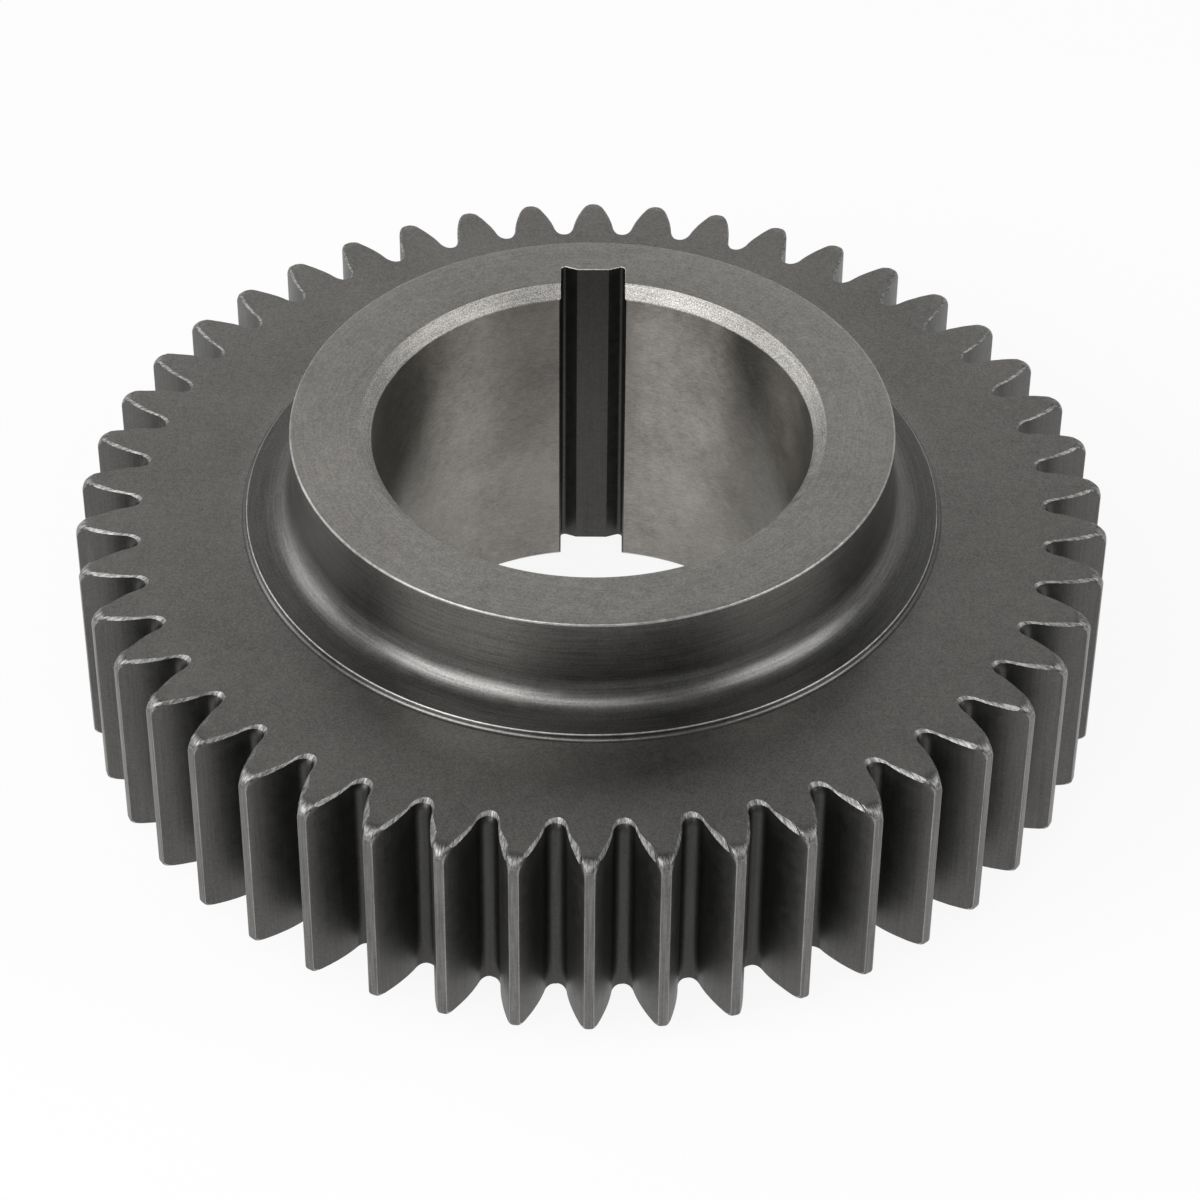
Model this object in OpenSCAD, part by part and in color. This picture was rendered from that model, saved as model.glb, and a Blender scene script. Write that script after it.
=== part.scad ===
/* [Teeth] */
// Diameter over the tips of the teeth
tip_d = 170; // [155:1:190]
// Number of teeth
tooth_count = 46; // [38:1:56]
// Pressure angle of the involute flanks, in degrees
pressure_angle = 20; // [19:0.5:22]
// Width of the toothed rim along the axis
face_width = 36; // [25:0.5:50]
// Height of a tooth above the pitch circle, in modules
addendum_ratio = 1.286; // [1:0.01:1.3]
// Depth of a gap below the pitch circle, in modules
dedendum_ratio = 1.386; // [1.3:0.01:1.5]
// Radius that the cutter leaves at the foot of each flank, in modules
fillet_ratio = 0.37; // [0.25:0.01:0.42]
// Play left between meshing flanks, along the pitch circle
backlash = 0.2; // [0:0.05:0.3]
// Edge break along both sides of each tip land
tip_break = 0.25; // [0.1:0.05:0.35]

/* [Tooth ends] */
// Radial width of the rounding ground on the tips at the upper end
tip_round_w = 1.35; // [0.6:0.05:1.8]
// Axial height of that rounding
tip_round_h = 2.3; // [1.9:0.1:3.5]
// Chamfer on the tips at the lower end
tip_chamfer = 0.8; // [0.2:0.1:1.5]
// Bevel around the bottom of each gap, at the upper end
root_bevel_top = 0.5; // [0.2:0.05:0.9]
// Bevel around the bottom of each gap, at the lower end
root_bevel_bottom = 0.8; // [0.2:0.05:1]

/* [Hub] */
// Diameter of the hub that stands above the teeth
hub_d = 98.5; // [92:0.5:108]
// Height of the hub's top above the upper side of the teeth
hub_rise = 17; // [10:0.5:30]
// Fillet between the hub's wall and the raised land
hub_fillet_r = 5; // [2:0.25:8]
// Edge break around the hub's top
hub_edge = 0.4; // [0.2:0.1:1.5]
// Diameter of the raised land around the hub
land_d = 114; // [111:0.5:124]
// Height of the raised land above the web
land_rise = 1.1; // [0.5:0.1:2]
// Fillet at the foot of the raised land
land_fillet_r = 0.75; // [0.2:0.05:1.5]
// Edge break around the raised land
land_edge = 0.2; // [0.1:0.05:0.4]

/* [Lower boss] */
// Diameter of the boss below the teeth
boss_d = 98.5; // [92:0.5:110]
// Height of the boss below the lower side of the teeth
boss_drop = 7; // [4:0.5:12]
// Fillet between the boss and the lower side of the teeth
boss_fillet_r = 3; // [1:0.25:3.5]
// Chamfer around the boss's lower edge
boss_edge = 0.5; // [0.2:0.1:1.5]

/* [Bore] */
// Diameter of the bore
bore_d = 72; // [66:0.5:78]
// Lead-in chamfer of the bore at the top
bore_chamfer_top = 2.1; // [0.5:0.1:3]
// Chamfer of the bore at the bottom
bore_chamfer_bottom = 1.6; // [0.5:0.1:3]

/* [Keyway] */
// Width of the keyway
key_w = 10.9; // [8:0.1:14]
// Depth of the keyway's floor beyond the bore, along its middle
key_depth = 5.4; // [3:0.1:6.5]
// Width of the flat middle of the floor
key_flat_w = 5.4; // [3:0.1:6]
// How much deeper than the floor the two corner reliefs are
relief_depth = 0.75; // [0.3:0.05:1.2]
// Radius of the relieved corners
relief_r = 0.7; // [0.4:0.05:1]

/* [Hidden] */

$fn = 120;
steel_colour = [0.40, 0.40, 0.39];
flank_steps = 7;
fillet_steps = 5;
cut_over = 2;
end_over = 0.5;
degree = 180 / PI;

tooth_module = tip_d / (tooth_count + 2 * addendum_ratio);
tooth_thickness = tooth_module * PI / 2 - backlash;
tip_r = tip_d / 2;
pitch_r = tooth_module * tooth_count / 2;
base_r = pitch_r * cos(pressure_angle);
root_r = pitch_r - dedendum_ratio * tooth_module;
teeth_bottom = boss_drop;
teeth_top = teeth_bottom + face_width;
land_top = teeth_top + land_rise;
hub_top = teeth_top + hub_rise;
hub_r = hub_d / 2;
land_r = land_d / 2;
boss_r = boss_d / 2;
bore_r = bore_d / 2;
hub_fillet = min(hub_fillet_r, land_r - land_edge - hub_r);
land_fillet = min(land_fillet_r, land_rise - land_edge);
boss_fillet = min(boss_fillet_r, boss_drop - boss_edge);

// Angle between an involute's start and its point at radius r
function involute_angle(r) = sqrt(pow(r / base_r, 2) - 1) * degree - acos(base_r / r);

// Half the angle of a gap between two teeth, at radius r on the flanks
half_gap_at_pitch = (360 / tooth_count - tooth_thickness / pitch_r * degree) / 2;
half_gap_at_base = half_gap_at_pitch - involute_angle(pitch_r);
function half_gap(r) = half_gap_at_base + involute_angle(r);

// The fillet touches the root circle and the involute, and is at most a full round
root_fillet = min(fillet_ratio * tooth_module, base_r * half_gap_at_base / degree);
fillet_centre_r = root_r + root_fillet;
fillet_centre_a = fillet_centre_r > base_r
    ? half_gap(fillet_centre_r) - root_fillet / base_r * degree
    : half_gap_at_base - asin(root_fillet / fillet_centre_r);
fillet_roll = sqrt(max(pow(fillet_centre_r, 2) - pow(base_r, 2), 0));
flank_start_r = sqrt(pow(base_r, 2) + pow(max(fillet_roll - root_fillet, 0), 2));
flank_end_r = tip_r - tip_break;

function polar(r, a) = [r * cos(a), r * sin(a)];
function reversed(list) = [for (i = [len(list) - 1:-1:0]) list[i]];
function mirrored(list) = [for (p = reversed(list)) [p[0], -p[1]]];

// Points of an arc around c from angle a0 to a1
function arc(c, r, a0, a1, steps) = [for (i = [0:steps]) c + polar(r, a0 + (a1 - a0) * i / steps)];

// One flank of a gap, from its fillet out to the edge break
function flank() = [
    for (i = [0:flank_steps])
        let (r = flank_start_r + (flank_end_r - flank_start_r) * i / flank_steps)
            polar(r, half_gap(r))
];

// The fillet, from the root circle to the flank, where the two share a normal
function root_arc() =
    let (
        c = polar(fillet_centre_r, fillet_centre_a),
        inward = c - polar(flank_start_r, half_gap(flank_start_r))
    )
    arc(c, -root_fillet, fillet_centre_a, atan2(inward[1], inward[0]), fillet_steps);

// The edge break leans 45 degrees out of the gap and runs past the tips
function tip_flare() =
    let (a = half_gap(flank_end_r), reach = tip_break + cut_over)
    [polar(flank_end_r, a) + polar(reach * sqrt(2), a + 45)];

// Outline of one gap, symmetric about the x axis
function gap_outline() =
    let (side = concat(root_arc(), [for (i = [1:flank_steps]) flank()[i]], tip_flare()))
    concat(side, mirrored(side));

// A quarter of material left in a corner by a fillet of radius r
module corner_fillet(r) {
    difference() {
        square(r);
        translate([r, r]) circle(r);
    }
}

// What the tip rounding takes off the section's upper outer corner
module tip_round_cut() {
    width = min(tip_round_w, tip_round_h);
    round_r = (pow(width, 2) + pow(tip_round_h, 2)) / (2 * width);
    translate([tip_r, teeth_top]) difference() {
        translate([-width, -tip_round_h]) square([width + cut_over, tip_round_h + cut_over]);
        translate([-round_r, -tip_round_h]) circle(round_r);
    }
}

// Section of the turned blank, from the axis to the tips
module blank_section() {
    difference() {
        polygon([
            [0, 0],
            [boss_r - boss_edge, 0],
            [boss_r, boss_edge],
            [boss_r, teeth_bottom],
            [tip_r - tip_chamfer, teeth_bottom],
            [tip_r, teeth_bottom + tip_chamfer],
            [tip_r, teeth_top],
            [land_r, teeth_top],
            [land_r, land_top - land_edge],
            [land_r - land_edge, land_top],
            [hub_r, land_top],
            [hub_r, hub_top - hub_edge],
            [hub_r - hub_edge, hub_top],
            [0, hub_top]
        ]);
        tip_round_cut();
    }
    translate([hub_r, land_top]) corner_fillet(hub_fillet);
    translate([land_r, teeth_top]) corner_fillet(land_fillet);
    translate([boss_r, teeth_bottom]) mirror([0, 1]) corner_fillet(boss_fillet);
}

// A 45 degree cone that opens upwards from a gap's bottom and leaves a bevel of the given width
module root_bevel_cut(bevel) {
    bevel_r = fillet_centre_r - root_r + bevel;
    translate([fillet_centre_r, 0, -bevel_r])
        cylinder(r1 = 0, r2 = bevel_r + end_over, h = bevel_r + end_over);
}

// One gap between two teeth, with the bevel around its bottom at both ends
module tooth_gap() {
    translate([0, 0, teeth_bottom - cut_over])
        linear_extrude(face_width + 2 * cut_over) polygon(gap_outline());
    translate([0, 0, teeth_top]) root_bevel_cut(root_bevel_top);
    translate([0, 0, teeth_bottom]) mirror([0, 0, 1]) root_bevel_cut(root_bevel_bottom);
}

// The gaps leave a tooth in line with the keyway
module tooth_gaps() {
    for (i = [0:tooth_count - 1])
        rotate(90 + (i + 0.5) * 360 / tooth_count) tooth_gap();
}

// The through bore with its chamfers
module bore() {
    translate([0, 0, -cut_over]) cylinder(r = bore_r, h = hub_top + 2 * cut_over);
    translate([0, 0, hub_top - bore_chamfer_top])
        cylinder(r1 = bore_r, r2 = bore_r + bore_chamfer_top + cut_over, h = bore_chamfer_top + cut_over);
    translate([0, 0, -cut_over])
        cylinder(r1 = bore_r + bore_chamfer_bottom + cut_over, r2 = bore_r, h = bore_chamfer_bottom + cut_over);
}

// Half of the keyway's outline: side wall, round relieved corner, then the ramp down to the flat
function key_half() =
    let (
        floor_y = bore_r + key_depth,
        c = [key_w / 2 - relief_r, floor_y + relief_depth - relief_r],
        to_flat = [key_flat_w / 2, floor_y] - c,
        lean = acos(relief_r / norm(to_flat)),
        touch = to_flat * cos(lean) + [to_flat[1], -to_flat[0]] * sin(lean)
    )
    concat(
        [[key_w / 2, 0]],
        arc(c, relief_r, 0, atan2(touch[1], touch[0]), fillet_steps),
        [[key_flat_w / 2, floor_y]]
    );

// The keyway runs through the whole bore, on the +Y side
module keyway() {
    side = key_half();
    translate([0, 0, -cut_over])
        linear_extrude(hub_top + 2 * cut_over)
            polygon(concat(side, [for (p = reversed(side)) [-p[0], p[1]]]));
}

module gear_wheel() {
    color(steel_colour) difference() {
        rotate_extrude() blank_section();
        tooth_gaps();
        bore();
        keyway();
    }
}

gear_wheel();
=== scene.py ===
import math

import bmesh
import bpy
from mathutils import Matrix, Vector, noise


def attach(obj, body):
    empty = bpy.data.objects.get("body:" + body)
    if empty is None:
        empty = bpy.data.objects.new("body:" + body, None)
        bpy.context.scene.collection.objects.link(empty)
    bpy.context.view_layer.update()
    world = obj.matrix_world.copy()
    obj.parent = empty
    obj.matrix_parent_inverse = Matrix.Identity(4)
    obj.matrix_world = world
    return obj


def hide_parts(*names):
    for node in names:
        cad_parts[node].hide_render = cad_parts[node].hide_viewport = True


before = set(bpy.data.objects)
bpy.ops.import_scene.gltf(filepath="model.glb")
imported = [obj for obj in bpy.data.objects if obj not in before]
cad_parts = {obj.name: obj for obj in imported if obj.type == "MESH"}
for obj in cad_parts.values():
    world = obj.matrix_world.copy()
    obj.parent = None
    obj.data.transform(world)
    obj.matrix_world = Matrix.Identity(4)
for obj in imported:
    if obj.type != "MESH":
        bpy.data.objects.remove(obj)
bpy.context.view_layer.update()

mm = 0.001

# one gear wheel: teeth, web, land, hub and boss are a single turned and hobbed piece, in millimetres
wheel = {
    "teeth": 46,
    "tipR": 85.0,
    "addendumRatio": 1.286,
    "dedendumRatio": 1.386,
    "filletRatio": 0.42,
    "backlash": 0.2,
    "pressureAngle": 20.0,
    "bottomZ": 7.0,      # underside of the teeth
    "topZ": 43.0,        # upper side of the teeth and of the web
    "seamR": 72.0,       # where the turned middle meets the toothed rim
    "seamSteps": 8,      # spin steps for each tooth
    "seamNear": 0.02,    # points this near to the seam lie on it
    "weld": 0.0005,      # points nearer than this become one
    "sharpAngle": 16,    # edges stay sharp from here on, in degrees
}

# how the edges of a tooth are finished; the ends are rounded by hand, most of all at the roots and tips
toothEdge = {
    "tipBreak": 0.22,    # the hob's break along both sides of a tip
    "cornerDown": 1.9,   # how far down the flank the tip's corners are rounded where the tip is ground down
    "cornerIn": 0.7,     # the same along the tip
    "cornerMost": 2.6,
    "roundWide": 1.85,   # the rounding ground on the tips at the upper end
    "roundHigh": 2.3,
    "lowRound": 0.85,    # and at the lower end
    "lowSteep": 0.999,   # keeps that round just short of a full quarter
    "lowReach": 1.0,     # depth at which the lower end's forms are over
    "tipDigits": 5,      # gaps whose tips agree to this many digits share one outline
    "topFlank": 0.26,    # widths of the edge along flank, root and tip, at the upper end
    "topRoot": 0.66,
    "topTip": 0.1,
    "bottomFlank": 0.28,    # and at the lower end
    "bottomRoot": 0.8,
    "bottomTip": 0.24,
    "rootLean": 0.75,    # how far the bottom of a gap leans back below its upper bevel
    "rootFlat": 1.5,     # points beside a gap's middle that keep the root's full width and lean
    "tipFade": (-0.5, 2.5),     # points around a flank's end over which the edge turns into the tip's
    "unevenness": 0.12,  # share by which the hand deburring wanders
    "fineShare": 0.3,    # how much of the wander is fine
    "rootUneven": 0.15,
    "rootLight": 0.6,    # share of the root's width where the hand bore down the least
    "heavyAt": -115,     # place around the wheel where it bore down the most, in degrees
    "growth": 0.4,       # how far the upper edge widens towards the tip
    "heavyGrowth": {1: 2.2, -1: 0.6},   # and how much more at the heavy place, on each side of a gap
}

# where the unevenness is looked up in the noise: how fast it runs with the place, the side and the tooth
handNoise = {
    "slow": {"place": 0.9, "side": 9.1, "tooth": 3.7, "top": 2.0, "bottom": 7.0},
    "fine": {"place": 3.1, "side": 5.3, "tooth": 1.9, "top": 13.0, "bottom": 18.0},
    "lean": {"place": 2.3, "side": 4.0, "tooth": 0.0, "top": 1.0},
}

# points on each stretch of half a gap, from its middle outwards
gapSteps = {"root": 2, "fillet": 8, "flank": 10, "break": 5, "land": 3}
rootEnd = gapSteps["root"] + gapSteps["fillet"]
flankEnd = rootEnd + gapSteps["flank"]
gapMiddle = flankEnd + gapSteps["break"] + gapSteps["land"] - 1     # index of a whole gap's middle point


def polar(r, a):
    return Vector((r * math.cos(a), r * math.sin(a)))


def smoothStep(a, b, x):
    t = min(max((x - a) / (b - a), 0), 1)
    return t * t * (3 - 2 * t)


def gearSizes(w):
    module = 2 * w["tipR"] / (w["teeth"] + 2 * w["addendumRatio"])
    pitchR = module * w["teeth"] / 2
    baseR = pitchR * math.cos(math.radians(w["pressureAngle"]))
    toothWide = module * math.pi / 2 - w["backlash"]
    halfPitch = math.pi / w["teeth"]

    def involute(r):
        return math.sqrt(max((r / baseR) ** 2 - 1, 0)) - math.acos(min(baseR / r, 1))

    gapAtBase = halfPitch - toothWide / (2 * pitchR) - involute(pitchR)
    return {
        "baseR": baseR,
        "rootR": pitchR - w["dedendumRatio"] * module,
        "filletR": w["filletRatio"] * module,
        "halfPitch": halfPitch,
        "halfGap": lambda r: gapAtBase + involute(r),
    }


sizes = gearSizes(wheel)


# half of a gap, from its middle out to the middle of the next tip: root, fillet, involute, break, land
def gapHalf(tipR):
    filletR = sizes["filletR"]
    centreR = sizes["rootR"] + filletR
    centreA = sizes["halfGap"](centreR) - filletR / sizes["baseR"]
    centre = polar(centreR, centreA)
    roll = math.sqrt(centreR ** 2 - sizes["baseR"] ** 2)
    startR = math.sqrt(sizes["baseR"] ** 2 + (roll - filletR) ** 2)
    worn = math.sqrt(max(wheel["tipR"] - tipR, 0))
    endR = tipR - min(toothEdge["tipBreak"] + toothEdge["cornerDown"] * worn, toothEdge["cornerMost"])
    inward = centre - polar(startR, sizes["halfGap"](startR))
    endA = math.atan2(inward.y, inward.x)
    points = [polar(sizes["rootR"], centreA * i / gapSteps["root"]) for i in range(gapSteps["root"])]
    for i in range(gapSteps["fillet"]):
        a = centreA + (endA - centreA) * i / (gapSteps["fillet"] - 1)
        points.append(centre - polar(filletR, a))
    for i in range(1, gapSteps["flank"] + 1):
        r = startR + (endR - startR) * i / gapSteps["flank"]
        points.append(polar(r, sizes["halfGap"](r)))
    # the break is a curve that leaves along the flank and arrives along the tip
    cornerA = sizes["halfGap"](tipR)
    landA = cornerA + (toothEdge["tipBreak"] + toothEdge["cornerIn"] * worn) / tipR
    flankLast, corner, landFirst = points[-1], polar(tipR, cornerA), polar(tipR, landA)
    for i in range(1, gapSteps["break"] + 1):
        t = i / gapSteps["break"]
        points.append(flankLast * (1 - t) ** 2 + corner * 2 * t * (1 - t) + landFirst * t * t)
    for i in range(1, gapSteps["land"] + 1):
        points.append(polar(tipR, landA + (sizes["halfPitch"] - landA) * i / gapSteps["land"]))
    return points


def wholeGap(tipR):
    half = gapHalf(tipR)
    other = [Vector((p.x, -p.y)) for p in reversed(half)]
    return other[:-1] + half[:-1]   # the shared middles are kept once


# at each point of a gap, the way into the steel
def inwardNormals(points):
    turn = Matrix.Rotation(2 * sizes["halfPitch"], 2)
    around = [turn.inverted() @ points[-1]] + points + [turn @ points[0]]
    normals = []
    for before, after in zip(around, around[2:]):
        along = (after - before).normalized()
        normals.append(Vector((-along.y, along.x)))
    return normals


def topTipR(depth):
    wide = toothEdge["roundWide"]
    high = toothEdge["roundHigh"]
    bulge = (wide ** 2 + high ** 2) / (2 * wide)
    rise = max(high - depth, 0)
    return wheel["tipR"] - bulge + math.sqrt(bulge ** 2 - rise ** 2)


def lowTipR(depth):
    r = toothEdge["lowRound"]
    rise = max(r - depth, 0)
    return wheel["tipR"] - r + math.sqrt(r ** 2 - rise ** 2 * toothEdge["lowSteep"])


# the two ends of the teeth; an edge is a list of depths and offsets as shares of its width:
# the top is filed nearly flat, the lower end is rounded
toothEnds = {
    "top": {
        "faceZ": wheel["topZ"],
        "into": -1,
        "tipAt": topTipR,
        "reach": toothEdge["roundHigh"],
        "steps": 6,
        "edge": [(0.0, 1.0), (0.32, 0.62), (0.66, 0.29), (1.0, 0.0)],
    },
    "bottom": {
        "faceZ": wheel["bottomZ"],
        "into": 1,
        "tipAt": lowTipR,
        "reach": toothEdge["lowReach"],
        "steps": 3,
        "edge": [(0.0, 1.0), (0.28, 0.6), (0.68, 0.22), (1.0, 0.0)],
    },
}


# the angle of a gap; a tooth stands in line with the keyway
def gapAngle(tooth):
    return math.pi / 2 + (tooth + 0.5) * 2 * sizes["halfPitch"]


def wander(speed, kind, place, side, tooth):
    n = handNoise[speed]
    return noise.noise(Vector((place * n["place"], side * n["side"] + tooth * n["tooth"], n[kind])))


# the width of an edge at one point of a gap, which is counted from the gap's middle
def edgeWidth(kind, p, index, tooth):
    e = toothEdge
    place = abs(index - gapMiddle)
    side = 1 if index > gapMiddle else -1
    slow = wander("slow", kind, p.length, side, tooth)
    fine = wander("fine", kind, p.length, side, tooth)
    heavy = 0.5 + 0.5 * math.cos(gapAngle(tooth) - math.radians(e["heavyAt"]))
    flank = e[kind + "Flank"] * (1 + e["unevenness"] * (slow + e["fineShare"] * fine))
    root = e[kind + "Root"] * (1 + e["rootUneven"] * slow) * (e["rootLight"] + (1 - e["rootLight"]) * heavy)
    width = root + (flank - root) * smoothStep(e["rootFlat"], rootEnd - 1, place)
    if kind == "top":
        growth = e["growth"] + e["heavyGrowth"][side] * heavy ** 2
        width *= 1 + growth * smoothStep(rootEnd, flankEnd, place)
    fadeFrom, fadeTo = e["tipFade"]
    return width + (e[kind + "Tip"] - width) * smoothStep(flankEnd + fadeFrom, flankEnd + fadeTo, place)


# how far a gap's bottom leans back; depthShare runs from 0 at the bevel to 1 where the lean has gone
def rootLean(kind, index, tooth, depthShare):
    if kind != "top":
        return 0
    e = toothEdge
    lean = e["rootLean"] * (1 - smoothStep(e["rootFlat"], rootEnd - 1, abs(index - gapMiddle)))
    return lean * (1 + e["unevenness"] * wander("lean", kind, tooth, 1, 0)) * (1 - depthShare) ** 2


# one closed ring of the toothed outline, either on the edge or further down on the teeth's body
def toothRing(kind, onEdge, share):
    end = toothEnds[kind]
    guide = wholeGap(end["tipAt"](0))
    outlines = {}
    ring = []
    for tooth in range(wheel["teeth"]):
        turn = Matrix.Rotation(gapAngle(tooth), 2)
        for i, p in enumerate(guide):
            width = edgeWidth(kind, p, i, tooth)
            if onEdge:
                depth, inset, depthShare = width * share[0], width * share[1], 0
            else:
                depth, inset, depthShare = width + (end["reach"] - width) * share, 0, share
            tipR = round(end["tipAt"](depth), toothEdge["tipDigits"])
            if tipR not in outlines:
                outline = wholeGap(tipR)
                outlines[tipR] = (outline, inwardNormals(outline))
            outline, normals = outlines[tipR]
            lean = Vector((rootLean(kind, i, tooth, depthShare), 0))
            q = turn @ (outline[i] + normals[i] * inset - lean)
            ring.append((q.x, q.y, end["faceZ"] + end["into"] * depth))
    return ring


# all the rings, from the upper end face down to the lower one
def toothRings():
    rings = []
    for kind, end in toothEnds.items():
        made = [toothRing(kind, True, share) for share in end["edge"]]
        made += [toothRing(kind, False, i / end["steps"]) for i in range(1, end["steps"] + 1)]
        rings += made if kind == "top" else made[::-1]
    return rings


def addWire(bm, points):
    verts = [bm.verts.new(p) for p in points]
    edges = [bm.edges.new(pair) for pair in zip(verts, verts[1:] + verts[:1])]
    return verts, edges


# a wall through rings of equal length: the edge loop is extruded and each copy is set on its next place
def extrudeThrough(bm, rings):
    place = bm.verts.layers.int.new("place")
    verts, first = addWire(bm, rings[0])
    for i, v in enumerate(verts):
        v[place] = i
    loop = first
    for ring in rings[1:]:
        made = bmesh.ops.extrude_edge_only(bm, edges=loop)["geom"]
        for v in [g for g in made if isinstance(g, bmesh.types.BMVert)]:
            v.co = ring[v[place]]
        newEdges = [g for g in made if isinstance(g, bmesh.types.BMEdge)]
        loop = [e for e in newEdges if e.verts[0][place] != e.verts[1][place]]
    return first, loop


def arcPoints(centre, r, a0, a1, steps):
    angles = [math.radians(a0 + (a1 - a0) * i / steps) for i in range(steps + 1)]
    return [(centre[0] + r * math.cos(a), centre[1] + r * math.sin(a)) for a in angles]


# the turned middle: radii, heights and edges, and the rings that split its long stretches
middle = {
    "hubR": 49.25,
    "hubTop": 60.0,
    "hubFillet": 5.0,
    "hubEdge": 0.4,
    "landR": 57.0,
    "landTop": 44.1,
    "landFillet": 0.75,
    "landEdge": 0.25,
    "boreR": 36.0,
    "boreTop": 2.1,
    "boreLow": 1.6,
    "rimEdge": 0.3,         # round between the upper chamfer and the hub's top
    "boreEase": (0.07, 0.1),    # the chamfer's lower edge is broken from here to here
    "bossR": 49.25,
    "bossFillet": 3.0,
    "bossEdge": 0.5,
    "webRings": (66.0, 61.0),
    "wallRings": (52.5, 56.0),
    "topRings": (46.0, 42.0),
    "boreRings": (40.0, 20.0),
    "bossRing": 43.0,
    "lowRing": 61.0,
    "weld": 0.001,
}
arcSteps = {"landFillet": 6, "edge": 6, "hubFillet": 12, "rim": 4, "bossFillet": 7}


def middleProfile():
    m = middle
    top, low, land, hub, bore = wheel["topZ"], wheel["bottomZ"], m["landTop"], m["hubTop"], m["boreR"]
    points = [(wheel["seamR"], low), (wheel["seamR"], top)] + [(r, top) for r in m["webRings"]]
    r = m["landFillet"]
    points += arcPoints((m["landR"] + r, top + r), r, 270, 180, arcSteps["landFillet"])
    r = m["landEdge"]
    points += arcPoints((m["landR"] - r, land - r), r, 0, 90, arcSteps["edge"])
    r = m["hubFillet"]
    points += arcPoints((m["hubR"] + r, land + r), r, 270, 180, arcSteps["hubFillet"])
    points += [(m["hubR"], z) for z in m["wallRings"]]
    r = m["hubEdge"]
    points += arcPoints((m["hubR"] - r, hub - r), r, 0, 90, arcSteps["edge"])
    points += [(ring, hub) for ring in m["topRings"]]
    r = m["rimEdge"]
    rimR = bore + m["boreTop"] + r * math.tan(math.pi / 8)
    points += arcPoints((rimR, hub - r), r, 90, 135, arcSteps["rim"])
    above, below = m["boreEase"]
    points += [(bore + above, hub - m["boreTop"] + above), (bore, hub - m["boreTop"] - below)]
    points += [(bore, z) for z in m["boreRings"]]
    points += [(bore, m["boreLow"]), (bore + m["boreLow"], 0), (m["bossRing"], 0)]
    points += [(m["bossR"] - m["bossEdge"], 0), (m["bossR"], m["bossEdge"])]
    r = m["bossFillet"]
    points += arcPoints((m["bossR"] + r, low - r), r, 180, 90, arcSteps["bossFillet"])
    return points + [(m["lowRing"], low)]


def makeMiddle():
    bm = bmesh.new()
    verts, edges = addWire(bm, [(r, 0, z) for r, z in middleProfile()])
    bmesh.ops.transform(bm, matrix=Matrix.Rotation(math.pi / 2 + sizes["halfPitch"], 4, "Z"), verts=verts)
    bmesh.ops.spin(bm, geom=verts + edges, cent=(0, 0, 0), axis=(0, 0, 1), angle=2 * math.pi,
                   steps=wheel["teeth"] * wheel["seamSteps"], use_merge=True)
    bmesh.ops.remove_doubles(bm, verts=bm.verts, dist=middle["weld"])
    bmesh.ops.recalc_face_normals(bm, faces=bm.faces)
    return bm


# the keyway's cutter: side walls, round relieved corners, ramps and a flat floor
# it is flared where it leaves the steel
keyway = {
    "wide": 10.9,
    "floorY": 41.4,
    "flatWide": 5.4,
    "reliefDeep": 0.75,
    "reliefR": 0.7,
    "reliefSteps": 8,
    "mouthY": 35.59,            # where the side walls meet the bore
    "mouthFlare": 0.3,
    "mouthEase": (0.1, 0.22),   # the flare runs from this far below the mouth to this far above
    "innerY": 30.0,
    "edge": 0.11,
    "past": 1.0,                # how far the cutter runs past both ends
}


def keywayOutline(k):
    half = k["wide"] / 2
    r = k["reliefR"]
    cx = half - r
    cy = k["floorY"] + k["reliefDeep"] - r
    toFlat = Vector((k["flatWide"] / 2 - cx, k["floorY"] - cy))
    lean = math.acos(r / toFlat.length)
    touch = toFlat * math.cos(lean) + Vector((toFlat.y, -toFlat.x)) * math.sin(lean)
    rampA = math.degrees(math.atan2(touch.y, touch.x))
    below, above = k["mouthEase"]
    flare = half + k["mouthFlare"]
    side = [(flare, k["innerY"]), (flare, k["mouthY"] - below), (half, k["mouthY"] + above)]
    side += arcPoints((cx, cy), r, 0, rampA, k["reliefSteps"]) + [(k["flatWide"] / 2, k["floorY"])]
    return side + [(-x, y) for x, y in reversed(side)]


def makeCutter(k, topZ):
    outline = [Vector(p) for p in keywayOutline(k)]
    outward = []
    for before, p, after in zip(outline[-1:] + outline, outline, outline[1:] + outline[:1]):
        a = (p - before).normalized()
        b = (after - p).normalized()
        out = Vector((a.y + b.y, -a.x - b.x)).normalized()
        outward.append(out if p.y > k["innerY"] else Vector((out.x, 0)))
    edge = k["edge"]
    past = k["past"]
    rings = []
    for z, grow in [(-past, edge + past), (edge, 0), (topZ - edge, 0), (topZ + past, edge + past)]:
        rings.append([(p.x + n.x * grow, p.y + n.y * grow, z) for p, n in zip(outline, outward)])
    bm = bmesh.new()
    for loop in extrudeThrough(bm, rings):
        bmesh.ops.contextual_create(bm, geom=loop)
    bmesh.ops.recalc_face_normals(bm, faces=bm.faces)
    return bm


def toObject(bm, name):
    mesh = bpy.data.meshes.new(name)
    bm.to_mesh(mesh)
    bm.free()
    obj = bpy.data.objects.new(name, mesh)
    bpy.context.scene.collection.objects.link(obj)
    return obj


def cutAway(body, cutter):
    cut = body.modifiers.new("keywayCut", "BOOLEAN")
    cut.operation = "DIFFERENCE"
    cut.solver = "EXACT"
    cut.object = cutter
    bpy.context.view_layer.update()
    done = bpy.data.meshes.new_from_object(body.evaluated_get(bpy.context.evaluated_depsgraph_get()))
    bm = bmesh.new()
    bm.from_mesh(done)
    bpy.data.meshes.remove(done)
    for obj in (body, cutter):
        mesh = obj.data
        bpy.data.objects.remove(obj)
        bpy.data.meshes.remove(mesh)
    return bm


def onSeam(verts):
    return all(abs(math.hypot(v.co.x, v.co.y) - wheel["seamR"]) < wheel["seamNear"] for v in verts)


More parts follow.
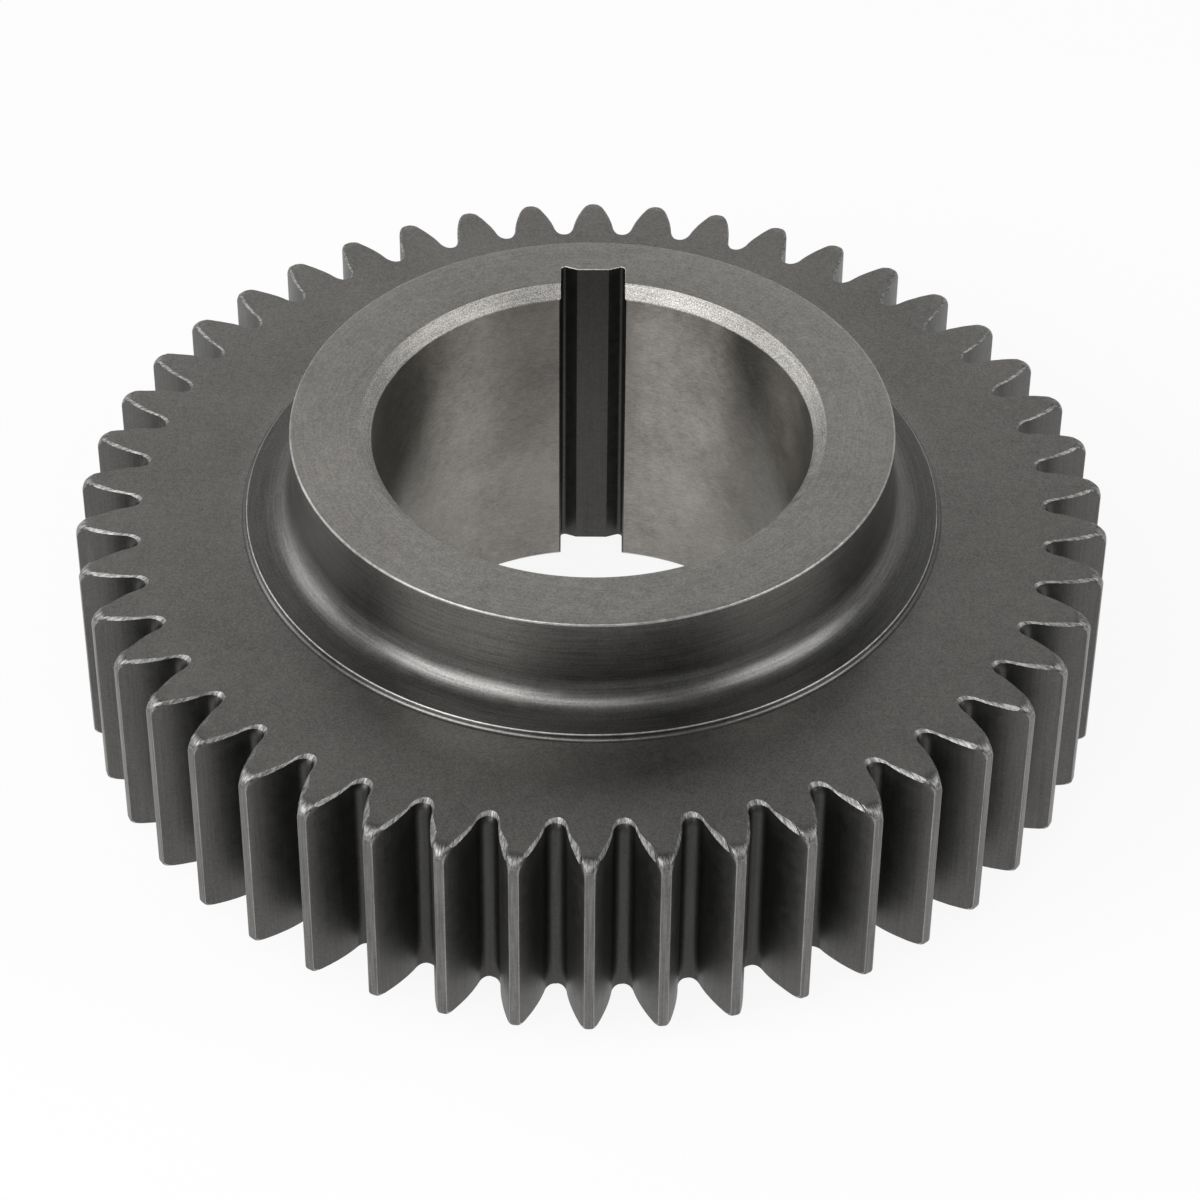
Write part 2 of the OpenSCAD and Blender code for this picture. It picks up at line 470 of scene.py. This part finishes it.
def atHeight(verts, z):
    return all(abs(v.co.z - z) < wheel["seamNear"] / 2 for v in verts)


def makeWheel():
    blank = toObject(makeMiddle(), "middleBlank")
    cutter = toObject(makeCutter(keyway, middle["hubTop"]), "keywayCutter")
    bm = cutAway(blank, cutter)
    print("middle turned and keyway cut:", len(bm.faces), "faces")
    bmesh.ops.delete(bm, geom=[f for f in bm.faces if onSeam(f.verts)], context="FACES")
    topLoop, lowLoop = extrudeThrough(bm, toothRings())
    print("teeth extruded:", len(bm.faces), "faces")
    for z, loop in ((wheel["topZ"], topLoop), (wheel["bottomZ"], lowLoop)):
        inner = [e for e in bm.edges if e.is_boundary and onSeam(e.verts) and atHeight(e.verts, z)]
        bmesh.ops.triangle_fill(bm, edges=loop + inner, use_beauty=True, use_dissolve=False)
    bmesh.ops.remove_doubles(bm, verts=bm.verts, dist=wheel["weld"])
    bmesh.ops.recalc_face_normals(bm, faces=bm.faces)
    bmesh.ops.scale(bm, vec=(mm, mm, mm), verts=bm.verts)
    return toObject(bm, "gearWheel")


# which finish a face has, from where it lies and how it leans; leans are parts of the face's direction
finishLimits = {
    "rimIn": 0.5,            # the toothed rim begins this far inside the seam
    "near": 0.01,            # heights closer than this are the same, and walls lean less than this
    "endUp": 0.999,          # end faces lean up or down at least this much
    "groundUp": 0.52,        # filed edges lean up more than this
    "lowDown": -0.02,        # what leans down more than this is an edge of the lower end
    "shadedRootHigh": 0.9,         # height of a gap's bottom that is painted darker, as painted shade between the teeth
    "tipDeep": 2.5,          # the tips' lands and corners lie within this depth
    "cornerOut": 0.62,       # a tip's corner looks outwards at least this much
    "landOut": 0.93,         # and its land this much
    "keyClear": (0.4, 0.1, 1.2),    # room kept around the keyway's outline: beside, below and above it
    "keyEndY": 38.2,         # its broken edges at both ends lie beyond this
    "keyEndUp": (0.69, 0.95),       # and lean up or down between these
    "edgeUp": (0.1, 0.99),   # turned edges lean between these
    "wallUp": 0.05,          # the bore's wall leans less than this
    "bossUp": -0.9,          # and the boss's end face looks down more than this
    "slack": 0.02,           # room left around the radii of the bore, the chamfer and the land
    "boreSlack": 0.05,
    "rimSlack": 0.08,
    "chamferSlack": 0.1,
    "flat": 0.9995,          # faces that stay flat shaded
}


def rimFinish(c, r, normal):
    limit = finishLimits
    lowEdge = normal.z <= limit["lowDown"]
    inRoot = r < sizes["rootR"] + limit["shadedRootHigh"]
    if abs(normal.z) > limit["endUp"]:
        return "web"
    if normal.z > limit["groundUp"] and (not inRoot or c.z > wheel["topZ"] - toothEdge["topRoot"]):
        return "ground"
    # faces in a gap's bottom take the darker root finish, which is painted shade between the teeth
    if inRoot:
        return "deburr" if lowEdge else "shadedGapRoot"
    outward = (normal.x * c.x + normal.y * c.y) / r
    if r > wheel["tipR"] - limit["tipDeep"] and outward > limit["cornerOut"]:
        return "tipLand" if lowEdge or outward >= limit["landOut"] else "tipEdge"
    return "deburr" if lowEdge else "flank"


def keywayFinish(c, r, up):
    limit = finishLimits
    beside, below, above = limit["keyClear"]
    inside = abs(c.x) < keyway["wide"] / 2 + beside
    inside = inside and keyway["mouthY"] - below < c.y < keyway["floorY"] + above
    if not inside or r <= middle["boreR"] + limit["slack"]:
        return None
    if abs(up) < limit["near"]:
        return "keyway"
    least, most = limit["keyEndUp"]
    return "hubTop" if least < abs(up) < most and c.y > limit["keyEndY"] else None


def middleFinish(c, r, up):
    limit = finishLimits
    m = middle
    keyFinish = keywayFinish(c, r, up)
    if keyFinish:
        return keyFinish
    onHubEdge = r > m["hubR"] - m["hubEdge"] and c.z > m["hubTop"] - m["hubEdge"]
    onLandEdge = abs(r - m["landR"]) < m["landEdge"] and c.z > m["landTop"] - m["landEdge"]
    least, most = limit["edgeUp"]
    if least < up < most and (onHubEdge or onLandEdge):
        return "edge"
    outsideChamfer = r > m["boreR"] + m["boreTop"] - limit["rimSlack"]
    if c.z > m["hubTop"] - m["hubEdge"] - limit["near"] and outsideChamfer:
        return "hubTop"
    if r < m["boreR"] + limit["boreSlack"] and abs(up) < limit["wallUp"]:
        return "bore"
    if r < m["boreR"] + m["boreTop"] + limit["chamferSlack"]:
        return "chamfer"
    if abs(c.z - wheel["bottomZ"]) < limit["near"] and up < -limit["endUp"]:
        return "web"
    if c.z < wheel["bottomZ"] - limit["near"]:
        return "hubTop" if up < limit["bossUp"] else "hubWall"
    if r > m["landR"] + m["landFillet"] - limit["slack"]:
        return "web"
    return "hubWall"


def finishOf(face):
    c = face.calc_center_median() / mm
    r = math.hypot(c.x, c.y)
    if r > wheel["seamR"] - finishLimits["rimIn"]:
        return rimFinish(c, r, face.normal)
    return middleFinish(c, r, face.normal.z)


def assignFinishes(obj):
    bm = bmesh.new()
    bm.from_mesh(obj.data)
    bm.normal_update()
    order = list(finishes)
    for face in bm.faces:
        face.material_index = order.index(finishOf(face))
        face.smooth = abs(face.normal.z) <= finishLimits["flat"]
    bm.to_mesh(obj.data)
    bm.free()
    obj.data.set_sharp_from_angle(angle=math.radians(wheel["sharpAngle"]))
    for name in finishes:
        obj.data.materials.append(steelFinish(name, finishes[name]))


def addNode(tree, kind, **values):
    node = tree.nodes.new("ShaderNode" + kind)
    for key, value in values.items():
        setattr(node, key, value)
    return node


def feed(tree, socket, value):
    if isinstance(value, bpy.types.NodeSocket):
        tree.links.new(value, socket)
    else:
        socket.default_value = value


def feedAll(tree, node, values):
    for socket, value in zip(node.inputs, values):
        feed(tree, socket, value)
    return node.outputs[0]


def sums(tree, operation, a, b=0.0, c=0.0, clamp=False):
    return feedAll(tree, addNode(tree, "Math", operation=operation, use_clamp=clamp), (a, b, c))


def vectorOf(tree, x, y, z):
    return feedAll(tree, addNode(tree, "CombineXYZ"), (x, y, z))


def spread(tree, value, fromLow, fromHigh, toLow, toHigh, form="SMOOTHSTEP"):
    node = addNode(tree, "MapRange", interpolation_type=form)
    return feedAll(tree, node, (value, fromLow, fromHigh, toLow, toHigh))


def noiseAt(tree, vector, scale, detail, rough):
    node = addNode(tree, "TexNoise")
    feed(tree, node.inputs["Vector"], vector)
    for key, value in {"Scale": scale, "Detail": detail, "Roughness": rough}.items():
        node.inputs[key].default_value = value
    return node.outputs["Fac"]


def blendColour(tree, factor, a, b):
    node = addNode(tree, "Mix", data_type="RGBA")
    for place, value in ((0, factor), (6, a), (7, b)):
        feed(tree, node.inputs[place], value)
    return node.outputs[2]


# one dictionary a finish: tones are linear, lengths in millimetres, lay is the way the tool's marks run
# a Tone value says how far its pattern moves the tone from dark to pale; layDepth and grain are heights
finishes = {
    "web": {
        "dark": 0.14, "pale": 0.3, "warm": 0.035, "rough": 0.33, "roughVary": 0.08, "stretch": 0.0,
        "lay": "plain", "layPitch": 0.8, "layTone": 0.25, "layDepth": 0.1,
        "cloudTone": 0.3, "mottleTone": 0.15, "grainPitch": 0.32, "grainTone": 0.8, "grain": 0.5,
    },
    "hubWall": {
        "dark": 0.076, "pale": 0.18, "warm": 0.02, "rough": 0.35, "roughVary": 0.05, "stretch": 0.3,
        "lay": "turned", "layPitch": 0.3, "layTone": 0.6, "layDepth": 1.1,
        "cloudTone": 0.2, "mottleTone": 0.15, "grainPitch": 0.32, "grainTone": 0.6, "grain": 0.3,
    },
    "hubTop": {
        "dark": 0.25, "pale": 0.43, "warm": 0.04, "rough": 0.5, "roughVary": 0.06, "stretch": 0.3,
        "lay": "turned", "layPitch": 0.3, "layTone": 0.45, "layDepth": 0.35,
        "cloudTone": 0.3, "mottleTone": 0.35, "grainPitch": 0.35, "grainTone": 0.9, "grain": 0.7,
    },
    "edge": {
        "dark": 0.24, "pale": 0.5, "warm": 0.01, "rough": 0.45, "roughVary": 0.1, "stretch": 0.3,
        "lay": "turned", "layPitch": 0.3, "layTone": 0.3, "layDepth": 0.2,
        "cloudTone": 0.6, "mottleTone": 0.9, "grainPitch": 0.5, "grainTone": 0.3, "grain": 0.3,
    },
    "chamfer": {
        "dark": 0.185, "pale": 0.57, "warm": 0.03, "rough": 0.5, "roughVary": 0.15, "stretch": 0.3,
        "lay": "turned", "layPitch": 0.35, "layTone": 0.4, "layDepth": 0.5,
        "cloudTone": 0.3, "mottleTone": 0.3, "grainPitch": 0.2, "grainTone": 1.5, "grain": 2.4,
    },
    "bore": {
        "dark": 0.175, "pale": 0.345, "warm": 0.05, "rough": 0.33, "roughVary": 0.04, "stretch": 1.0,
        "lay": "honed", "layPitch": 0.14, "layTone": 1.1, "layDepth": 0.15,
        "cloudTone": 0.9, "mottleTone": 0.4, "grainPitch": 0.4, "grainTone": 0.4, "grain": 0.1,
    },
    "keyway": {
        "dark": 0.05, "pale": 0.085, "warm": 0.02, "rough": 0.42, "roughVary": 0.1, "stretch": 0.0,
        "lay": "along", "layPitch": 0.4, "layTone": 0.3, "layDepth": 0.2,
        "cloudTone": 0.3, "mottleTone": 0.5, "grainPitch": 0.4, "grainTone": 0.6, "grain": 0.4,
    },
    "flank": {
        "dark": 0.07, "pale": 0.14, "warm": 0.02, "rough": 0.46, "roughVary": 0.08, "stretch": 0.0,
        "lay": "along", "layPitch": 0.35, "layTone": 0.4, "layDepth": 0.25,
        "cloudTone": 0.3, "mottleTone": 0.2, "grainPitch": 0.4, "grainTone": 0.5, "grain": 0.2,
    },
    # the bottom of each gap: the flank's steel painted darker, as painted shade between the teeth
    "shadedGapRoot": {
        "dark": 0.045, "pale": 0.09, "warm": 0.02, "rough": 0.46, "roughVary": 0.08, "stretch": 0.0,
        "lay": "along", "layPitch": 0.35, "layTone": 0.4, "layDepth": 0.25,
        "cloudTone": 0.3, "mottleTone": 0.2, "grainPitch": 0.4, "grainTone": 0.5, "grain": 0.2,
    },
    "tipLand": {
        "dark": 0.11, "pale": 0.2, "warm": 0.02, "rough": 0.38, "roughVary": 0.08, "stretch": 0.0,
        "lay": "along", "layPitch": 0.22, "layTone": 1.1, "layDepth": 0.3,
        "cloudTone": 0.4, "mottleTone": 0.3, "grainPitch": 0.35, "grainTone": 0.5, "grain": 0.3,
    },
    "tipEdge": {
        "dark": 0.17, "pale": 0.34, "warm": 0.02, "rough": 0.38, "roughVary": 0.08, "stretch": 0.0,
        "lay": "along", "layPitch": 0.22, "layTone": 0.9, "layDepth": 0.3,
        "cloudTone": 0.4, "mottleTone": 0.3, "grainPitch": 0.35, "grainTone": 0.5, "grain": 0.3,
    },
    "ground": {
        "dark": 0.1, "pale": 0.31, "warm": 0.01, "rough": 0.5, "roughVary": 0.1, "stretch": 0.0,
        "lay": "hatch", "layPitch": 0.14, "layTone": 1.8, "layDepth": 0.5,
        "cloudTone": 0.3, "mottleTone": 0.1, "grainPitch": 0.4, "grainTone": 0.2, "grain": 0.4,
    },
    "deburr": {
        "dark": 0.14, "pale": 0.5, "warm": 0.01, "rough": 0.48, "roughVary": 0.12, "stretch": 0.0,
        "lay": "hatch", "layPitch": 0.16, "layTone": 1.2, "layDepth": 0.5,
        "cloudTone": 0.5, "mottleTone": 0.4, "grainPitch": 0.4, "grainTone": 0.4, "grain": 0.6,
    },
}
# what all the finishes share
steel = {
    "cloudPitch": 20.0,
    "mottlePitch": 2.0,
    "noiseRough": 0.6,
    "detail": {"lay": 2, "cloud": 4, "mottle": 3, "grain": 2},
    "aroundR": 60.0,        # the way around is measured as a length at this radius
    "warmth": (1.0, -1.6),  # how far red rises and blue falls with warm
    "mottleRange": (0.3, 0.7),
    "bumpStrength": 0.5,
    "bumpDepth": 0.02,
    "longLay": {"turned": 0.02, "along": 0.025, "hatch": 0.12, "honed": 0.05, "plain": 0.3},
    "honeSlope": 0.12,      # how far the honing's crossed scratches rise
    "leanOut": ("bore", "chamfer"),     # on these inner walls the stretch leans outwards, elsewhere inwards
}


# where the tool's marks are looked up: they stay long in the direction whose share is small
def layVectors(tree, lay, place, r, around):
    x, y, z = place
    share = steel["longLay"][lay]

    def times(value, factor):
        return sums(tree, "MULTIPLY", value, factor)

    if lay == "turned":
        return [vectorOf(tree, r, z, times(around, share))]
    if lay == "along":
        return [vectorOf(tree, x, y, times(z, share))]
    if lay == "hatch":
        return [vectorOf(tree, around, times(r, share), times(z, share))]
    if lay == "honed":
        vectors = []
        for slope in (steel["honeSlope"], -steel["honeSlope"]):
            along = sums(tree, "MULTIPLY_ADD", z, slope, around)
            across = sums(tree, "MULTIPLY_ADD", around, -slope, z)
            vectors.append(vectorOf(tree, times(along, share), across, slope))
        return vectors
    return [vectorOf(tree, x, times(y, share), z), vectorOf(tree, times(x, share), y, z)]


# highlights are drawn out across the marks of a turned surface
def stretchHighlights(tree, shader, name, stretch, place, r):
    x, y, z = place
    shader.inputs["Anisotropic"].default_value = stretch
    over = sums(tree, "DIVIDE", 1.0 if name in steel["leanOut"] else -1.0, r)
    tangent = vectorOf(tree, sums(tree, "MULTIPLY", x, over), sums(tree, "MULTIPLY", y, over), 1.0)
    tree.links.new(tangent, shader.inputs["Tangent"])


def addRelief(tree, shader, height):
    bump = addNode(tree, "Bump")
    bump.inputs["Strength"].default_value = steel["bumpStrength"]
    bump.inputs["Distance"].default_value = steel["bumpDepth"] * mm
    feed(tree, bump.inputs["Height"], height)
    tree.links.new(bump.outputs[0], shader.inputs["Normal"])


def steelFinish(name, v):
    material = bpy.data.materials.new(name + "Steel")
    material.use_nodes = True
    tree = material.node_tree
    tree.nodes.clear()
    scaled = addNode(tree, "VectorMath", operation="SCALE")
    feed(tree, scaled.inputs[0], addNode(tree, "TexCoord").outputs["Object"])
    scaled.inputs["Scale"].default_value = 1 / mm
    millimetres = scaled.outputs[0]
    split = addNode(tree, "SeparateXYZ")
    feed(tree, split.inputs[0], millimetres)
    place = split.outputs
    x, y, z = place
    r = sums(tree, "SQRT", sums(tree, "MULTIPLY_ADD", x, x, sums(tree, "MULTIPLY", y, y)))
    around = sums(tree, "MULTIPLY", sums(tree, "ARCTAN2", y, x), steel["aroundR"])

    def patternAt(kind, vector, pitch):
        return noiseAt(tree, vector, 1 / pitch, steel["detail"][kind], steel["noiseRough"])

    lays = layVectors(tree, v["lay"], place, r, around)
    marks = [patternAt("lay", vector, v["layPitch"]) for vector in lays]
    layMarks = marks[0] if len(marks) == 1 else sums(tree, "MULTIPLY", sums(tree, "ADD", *marks), 0.5)
    clouds = patternAt("cloud", millimetres, steel["cloudPitch"])
    mottle = patternAt("mottle", millimetres, steel["mottlePitch"])
    grain = patternAt("grain", millimetres, v["grainPitch"])
    tone = 0.5
    for pattern, kind in ((layMarks, "lay"), (clouds, "cloud"), (mottle, "mottle"), (grain, "grain")):
        tone = sums(tree, "MULTIPLY_ADD", sums(tree, "SUBTRACT", pattern, 0.5), 2 * v[kind + "Tone"], tone)
    tone = sums(tree, "ADD", tone, 0.0, clamp=True)
    redder, bluer = [1 + v["warm"] * share for share in steel["warmth"]]
    dark, pale = [(v[key] * redder, v[key], v[key] * bluer, 1) for key in ("dark", "pale")]
    vary = v["roughVary"] / 2
    shader = addNode(tree, "BsdfPrincipled")
    shader.inputs["Metallic"].default_value = 1.0
    feed(tree, shader.inputs["Base Color"], blendColour(tree, tone, dark, pale))
    roughness = spread(tree, mottle, *steel["mottleRange"], v["rough"] - vary, v["rough"] + vary, "LINEAR")
    feed(tree, shader.inputs["Roughness"], roughness)
    if v["stretch"] > 0:
        stretchHighlights(tree, shader, name, v["stretch"], place, r)
    grainHeight = sums(tree, "MULTIPLY", grain, v["grain"])
    addRelief(tree, shader, sums(tree, "MULTIPLY_ADD", layMarks, v["layDepth"], grainHeight))
    tree.links.new(shader.outputs[0], addNode(tree, "OutputMaterial").inputs[0])
    return material


gear = makeWheel()
assignFinishes(gear)
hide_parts("gear_wheel")
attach(gear, "root")
print("wheel finished:", len(gear.data.polygons), "faces")

# a white room: lengths in metres, angles in degrees, strengths as shares of plain white
studio = {
    "floorSize": 4.0,
    "floorGap": 0.00002,
    "floorTone": 0.8,
    "floorVary": 0.01,
    "speckle": {"scale": 900.0, "detail": 3, "rough": 0.55},
    "speckleRange": (0.2, 0.8),
    "floorWhite": 0.9,      # share of plain white that the eye and the steel see in the floor
    "backLow": 0.76,        # the bright wall behind the wheel
    "ceiling": 0.145,
    "front": 0.128,
    "wallTop": 38.0,        # height at which the wall ends, and how much higher it ends on the left
    "wallTopLeft": 10.0,
    "wallBlur": 7.0,
    "backFrom": (-0.2, 0.5),    # the wall fades in over these directions, from front to back
    "leftFrom": (-0.6, 0.5),    # and is highest from the first of these, going left
}

# lamps around the wheel: azimuth and rise as seen from it, distance away, size and watts
softboxes = {
    "leftBox": {"azimuth": -137, "rise": 38, "away": 1.1, "size": (0.85, 0.6), "watts": 9.6},
    "farLeftBox": {"azimuth": 160, "rise": 26, "away": 1.2, "size": (0.6, 0.7), "watts": 3.1},
    "rightBox": {"azimuth": -19, "rise": 36, "away": 1.2, "size": (0.78, 0.6), "watts": 5.5},
    "frontBox": {"azimuth": -94, "rise": 56, "away": 1.2, "size": (0.6, 0.3), "watts": 2.4},
}
softboxAim = (0, 0, 0.03)


def makeFloor():
    bm = bmesh.new()
    bmesh.ops.create_grid(bm, x_segments=1, y_segments=1, size=studio["floorSize"] / 2)
    bmesh.ops.translate(bm, vec=(0, 0, -studio["floorGap"]), verts=bm.verts)
    floor = toObject(bm, "studioFloor")
    material = bpy.data.materials.new("floorPaper")
    material.use_nodes = True
    tree = material.node_tree
    tree.nodes.clear()
    objectPlace = addNode(tree, "TexCoord").outputs["Object"]
    speckle = noiseAt(tree, objectPlace, **studio["speckle"])
    tones = [studio["floorTone"] * (1 + way * studio["floorVary"]) for way in (-1, 1)]
    tone = spread(tree, speckle, *studio["speckleRange"], *tones)
    paper = addNode(tree, "BsdfDiffuse")
    feed(tree, paper.inputs["Color"], vectorOf(tree, tone, tone, tone))
    white = addNode(tree, "Emission")
    rays = addNode(tree, "LightPath")
    seen = sums(tree, "MAXIMUM", rays.outputs["Is Camera Ray"], rays.outputs["Is Glossy Ray"])
    seen = sums(tree, "MAXIMUM", seen, rays.outputs["Is Transmission Ray"])
    mix = addNode(tree, "MixShader")
    whiteShare = sums(tree, "MULTIPLY", seen, studio["floorWhite"])
    feedAll(tree, mix, (whiteShare, paper.outputs[0], white.outputs[0]))
    tree.links.new(mix.outputs[0], addNode(tree, "OutputMaterial").inputs[0])
    floor.data.materials.append(material)


def makeWorld():
    world = bpy.data.worlds.new("studioAir")
    bpy.context.scene.world = world
    world.use_nodes = True
    tree = world.node_tree
    tree.nodes.clear()
    parts = addNode(tree, "SeparateXYZ")
    tree.links.new(addNode(tree, "TexCoord").outputs["Generated"], parts.inputs[0])
    x, y, z = parts.outputs
    flat = sums(tree, "SQRT", sums(tree, "MULTIPLY_ADD", x, x, sums(tree, "MULTIPLY", y, y)))
    rise = sums(tree, "MULTIPLY", sums(tree, "ARCTAN2", z, flat), 180 / math.pi)
    backShare = spread(tree, y, *studio["backFrom"], 0, 1)
    leftShare = spread(tree, x, *studio["leftFrom"], 1, 0)
    wallTop = sums(tree, "MULTIPLY_ADD", leftShare, studio["wallTopLeft"], studio["wallTop"])
    blurs = [sums(tree, "ADD", wallTop, way * studio["wallBlur"]) for way in (-1, 1)]
    wall = spread(tree, rise, *blurs, studio["backLow"], studio["ceiling"])
    front = sums(tree, "MULTIPLY", sums(tree, "SUBTRACT", 1, backShare), studio["front"])
    strength = sums(tree, "MULTIPLY_ADD", wall, backShare, front)
    rays = addNode(tree, "LightPath")
    air = addNode(tree, "Background")
    air.inputs["Color"].default_value = (1, 1, 1, 1)
    feed(tree, air.inputs["Strength"], sums(tree, "MAXIMUM", strength, rays.outputs["Is Camera Ray"]))
    tree.links.new(air.outputs[0], addNode(tree, "OutputWorld").inputs[0])


def addSoftbox(name, box):
    lamp = bpy.data.lights.new(name, "AREA")
    lamp.shape = "RECTANGLE"
    lamp.size, lamp.size_y = box["size"]
    lamp.energy = box["watts"]
    obj = bpy.data.objects.new(name, lamp)
    flat = polar(math.cos(math.radians(box["rise"])), math.radians(box["azimuth"]))
    out = Vector((flat.x, flat.y, math.sin(math.radians(box["rise"]))))
    obj.location = out * box["away"]
    obj.rotation_euler = (Vector(softboxAim) - obj.location).to_track_quat("-Z", "Y").to_euler()
    bpy.context.scene.collection.objects.link(obj)


# the camera's place, the way it looks, and its focal length in pixels of the square frame
view = {
    "place": (-0.00092, -0.52696, 0.48787),
    "azimuth": 89.736,
    "pitch": 41.504,
    "roll": 0.537,
    "focalPixels": 4170.4,
    "framePixels": 1200,
    "sensor": 36,
    "nearest": 0.01,
}


def makeCamera():
    camera = bpy.data.objects.new("camera", bpy.data.cameras.new("camera"))
    azimuth, pitch, roll = (math.radians(view[key]) for key in ("azimuth", "pitch", "roll"))
    flat = polar(math.cos(pitch), azimuth)
    ahead = Vector((flat.x, flat.y, -math.sin(pitch)))
    right = ahead.cross(Vector((0, 0, 1))).normalized()
    up = right.cross(ahead)
    across = right * math.cos(roll) + up * math.sin(roll)
    above = up * math.cos(roll) - right * math.sin(roll)
    turn = Matrix((across, above, -ahead)).transposed().to_4x4()
    camera.matrix_world = Matrix.Translation(view["place"]) @ turn
    camera.data.lens = view["focalPixels"] / view["framePixels"] * view["sensor"]
    camera.data.sensor_width = view["sensor"]
    camera.data.clip_start = view["nearest"]
    bpy.context.scene.collection.objects.link(camera)
    bpy.context.scene.camera = camera


makeFloor()
makeWorld()
for name, box in softboxes.items():
    addSoftbox(name, box)
makeCamera()
bpy.context.scene.view_settings.view_transform = "Standard"
print("studio set")

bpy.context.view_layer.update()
